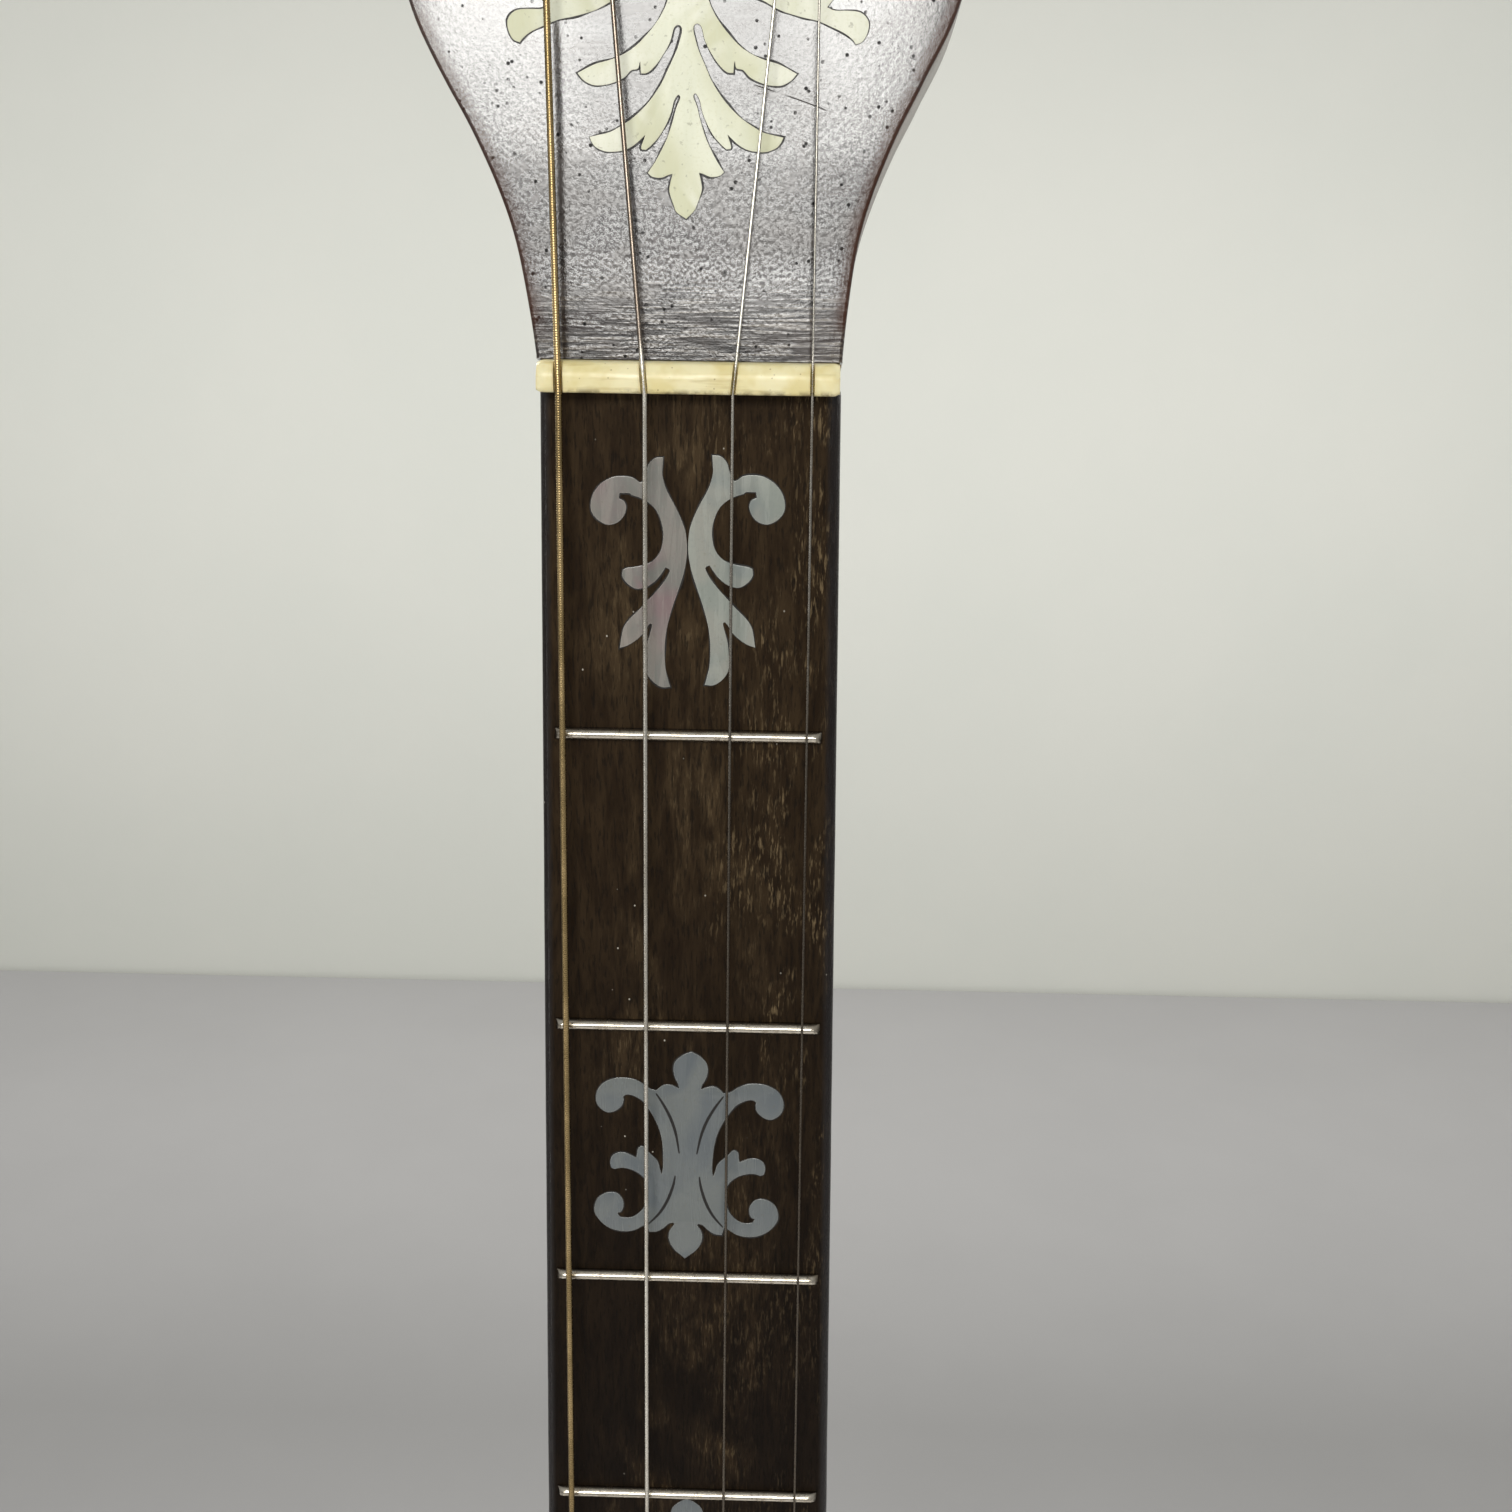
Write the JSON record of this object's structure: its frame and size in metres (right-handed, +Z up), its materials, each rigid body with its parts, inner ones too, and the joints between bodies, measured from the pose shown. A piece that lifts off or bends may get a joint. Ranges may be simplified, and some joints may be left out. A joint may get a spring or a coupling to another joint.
{
  "type": "four-string banjo",
  "caption": "Open-back banjo with a scroll-inlaid headstock, fretted neck, hooked drum pot, hinged tailpiece lid and geared tuners; hangs by its headstock.",
  "frame": {"origin": "hanger seat: on the neck's centre line, just above the nut, where a wall hanger's arms hold the headstock's flare", "axes": "+Z up along the neck, headstock up; the strings face -Y; +X to the viewer's right"},
  "size_m": [0.3086, 0.0799, 0.932],
  "materials": {
    "mahogany": "satin",
    "ebonised": "satin",
    "black_lacquer": "gloss",
    "maple": "satin",
    "bare_maple": "matt",
    "bone": "satin",
    "drum_skin": "matt",
    "brass": "polished",
    "nickel": "polished",
    "bronze": "wound",
    "steel": "drawn",
    "pearloid": "gloss"
  },
  "bodies": {
    "banjo": {"neck": "mahogany", "headstock_overlay": "black_lacquer", "fingerboard": "ebonised", "nut": "bone", "dowel_stick": "bare_maple", "rim": "maple", "tone_ring": "brass", "head": "drum_skin", "flesh_hoop": "nickel", "tension_hoop": "nickel", "bracket_band": "nickel", "hook_01": "nickel", "hook_02": "nickel", "hook_03": "nickel", "hook_04": "nickel", "hook_05": "nickel", "hook_06": "nickel", "hook_07": "nickel", "hook_08": "nickel", "hook_09": "nickel", "hook_10": "nickel", "hook_11": "nickel", "hook_12": "nickel", "hook_13": "nickel", "hook_14": "nickel", "hook_15": "nickel", "hook_16": "nickel", "hook_17": "nickel", "hook_18": "nickel", "hook_19": "nickel", "hook_20": "nickel", "hook_21": "nickel", "hook_22": "nickel", "hook_23": "nickel", "hook_24": "nickel", "neck_brace": "nickel", "tailpiece": "nickel", "tail_bracket": "nickel", "hanger_bolt": "nickel", "end_bolt": "nickel", "bridge": "bare_maple", "string_1": "steel", "string_2": "steel", "string_3": "steel", "string_4": "bronze", "tuner_housing_1": "nickel", "tuner_housing_2": "nickel", "tuner_housing_3": "nickel", "tuner_housing_4": "nickel"},
    "knob_1": {"tuner_knob_1": "pearloid"},
    "post_1": {"tuner_post_1": "nickel"},
    "knob_2": {"tuner_knob_2": "pearloid"},
    "post_2": {"tuner_post_2": "nickel"},
    "knob_3": {"tuner_knob_3": "pearloid"},
    "post_3": {"tuner_post_3": "nickel"},
    "knob_4": {"tuner_knob_4": "pearloid"},
    "post_4": {"tuner_post_4": "nickel"},
    "lid": {"tailpiece_lid": "nickel"},
    "pressure_screw": {"pressure_screw": "nickel"},
    "brace_screw": {"brace_screw": "nickel"}
  },
  "joints": [
    {"name": "knob_1_turn", "type": "hinge", "parent": "banjo", "child": "knob_1", "pos_m": [0.0156, -0.00053, 0.03744], "axis": [0, 0.9816, -0.1908], "continuous": true},
    {"name": "post_1_turn", "type": "hinge", "parent": "banjo", "child": "post_1", "pos_m": [0.0156, -0.00053, 0.03744], "axis": [0, 0.9816, -0.1908], "continuous": true},
    {"name": "knob_2_turn", "type": "hinge", "parent": "banjo", "child": "knob_2", "pos_m": [0.0163, 0.00805, 0.08161], "axis": [0, 0.9816, -0.1908], "continuous": true},
    {"name": "post_2_turn", "type": "hinge", "parent": "banjo", "child": "post_2", "pos_m": [0.0163, 0.00805, 0.08161], "axis": [0, 0.9816, -0.1908], "continuous": true},
    {"name": "knob_3_turn", "type": "hinge", "parent": "banjo", "child": "knob_3", "pos_m": [-0.0162, 0.00805, 0.08161], "axis": [0, 0.9816, -0.1908], "continuous": true},
    {"name": "post_3_turn", "type": "hinge", "parent": "banjo", "child": "post_3", "pos_m": [-0.0162, 0.00805, 0.08161], "axis": [0, 0.9816, -0.1908], "continuous": true},
    {"name": "knob_4_turn", "type": "hinge", "parent": "banjo", "child": "knob_4", "pos_m": [-0.0182, -0.00053, 0.03744], "axis": [0, 0.9816, -0.1908], "continuous": true},
    {"name": "post_4_turn", "type": "hinge", "parent": "banjo", "child": "post_4", "pos_m": [-0.0182, -0.00053, 0.03744], "axis": [0, 0.9816, -0.1908], "continuous": true},
    {"name": "lid_hinge", "type": "hinge", "parent": "banjo", "child": "lid", "pos_m": [0, -0.0131, -0.7807], "axis": [1, 0, 0], "range_deg": [0, 100]},
    {"name": "pressure_screw_turn", "type": "hinge", "parent": "banjo", "child": "pressure_screw", "pos_m": [0, -0.0028, -0.7917], "axis": [0, 1, 0], "continuous": true},
    {"name": "brace_screw_turn", "type": "hinge", "parent": "banjo", "child": "brace_screw", "pos_m": [0, 0.0352, -0.53063], "axis": [0, 1, 0], "continuous": true}
  ],
  "couplings": [
    {"joint": "post_1_turn", "follows": "knob_1_turn", "ratio": 0.25},
    {"joint": "post_2_turn", "follows": "knob_2_turn", "ratio": 0.25},
    {"joint": "post_3_turn", "follows": "knob_3_turn", "ratio": 0.25},
    {"joint": "post_4_turn", "follows": "knob_4_turn", "ratio": 0.25}
  ]
}
